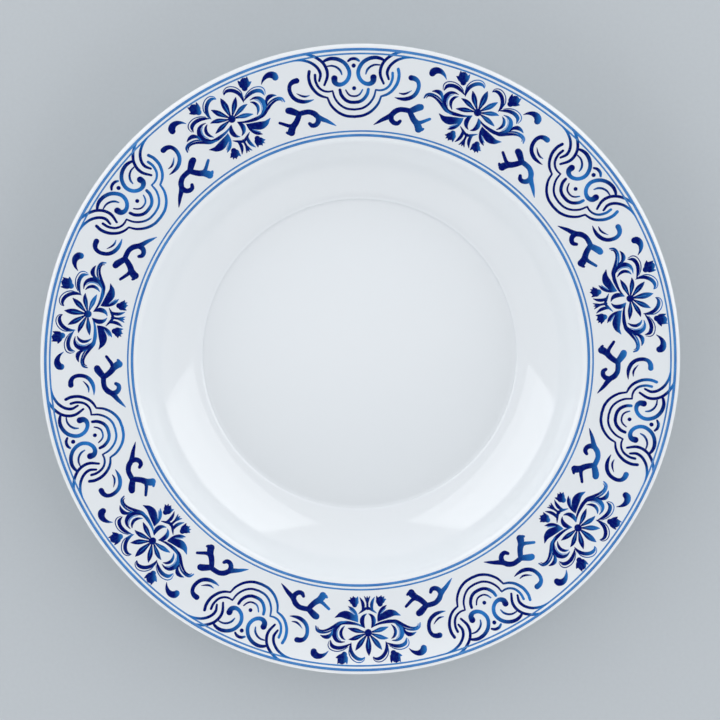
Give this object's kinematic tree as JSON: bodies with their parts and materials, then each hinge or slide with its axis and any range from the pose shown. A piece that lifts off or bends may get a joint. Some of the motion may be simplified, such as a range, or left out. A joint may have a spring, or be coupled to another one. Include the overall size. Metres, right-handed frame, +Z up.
{
  "type": "deep dinner plate",
  "caption": "Round deep plate with a wide sloping rim, a curved well, a foot ring and a printed blue flower and cloud pattern round the rim.",
  "frame": {"origin": "middle of the foot ring's flat underside, where the plate stands", "axes": "+Z up through the middle of the well; -Y towards the middle of the first flower"},
  "size_m": [0.23, 0.23, 0.0362],
  "materials": {
    "porcelain": "glossy clear glaze over cool white porcelain",
    "cobalt_print": "cobalt blue print under a glossy glaze",
    "line_print": "mid blue line under a glossy glaze"
  },
  "bodies": {
    "root": {"porcelain_body": "porcelain", "edge_line": "line_print", "edge_fine_line": "line_print", "well_fine_line": "line_print", "well_line": "line_print", "flower_head_1": "cobalt_print", "flower_head_2": "cobalt_print", "flower_head_3": "cobalt_print", "flower_head_4": "cobalt_print", "flower_head_5": "cobalt_print", "flower_head_6": "cobalt_print", "flower_head_7": "cobalt_print", "leaf_garland_1": "cobalt_print", "leaf_garland_2": "cobalt_print", "leaf_garland_3": "cobalt_print", "leaf_garland_4": "cobalt_print", "leaf_garland_5": "cobalt_print", "leaf_garland_6": "cobalt_print", "leaf_garland_7": "cobalt_print", "cloud_knot_1": "cobalt_print", "cloud_knot_2": "cobalt_print", "cloud_knot_3": "cobalt_print", "cloud_knot_4": "cobalt_print", "cloud_knot_5": "cobalt_print", "cloud_knot_6": "cobalt_print", "cloud_knot_7": "cobalt_print", "hook_left_1": "cobalt_print", "hook_left_2": "cobalt_print", "hook_left_3": "cobalt_print", "hook_left_4": "cobalt_print", "hook_left_5": "cobalt_print", "hook_left_6": "cobalt_print", "hook_left_7": "cobalt_print", "hook_right_1": "cobalt_print", "hook_right_2": "cobalt_print", "hook_right_3": "cobalt_print", "hook_right_4": "cobalt_print", "hook_right_5": "cobalt_print", "hook_right_6": "cobalt_print", "hook_right_7": "cobalt_print", "sprig_left_1": "cobalt_print", "sprig_left_2": "cobalt_print", "sprig_left_3": "cobalt_print", "sprig_left_4": "cobalt_print", "sprig_left_5": "cobalt_print", "sprig_left_6": "cobalt_print", "sprig_left_7": "cobalt_print", "sprig_right_1": "cobalt_print", "sprig_right_2": "cobalt_print", "sprig_right_3": "cobalt_print", "sprig_right_4": "cobalt_print", "sprig_right_5": "cobalt_print", "sprig_right_6": "cobalt_print", "sprig_right_7": "cobalt_print"}
  },
  "joints": []
}
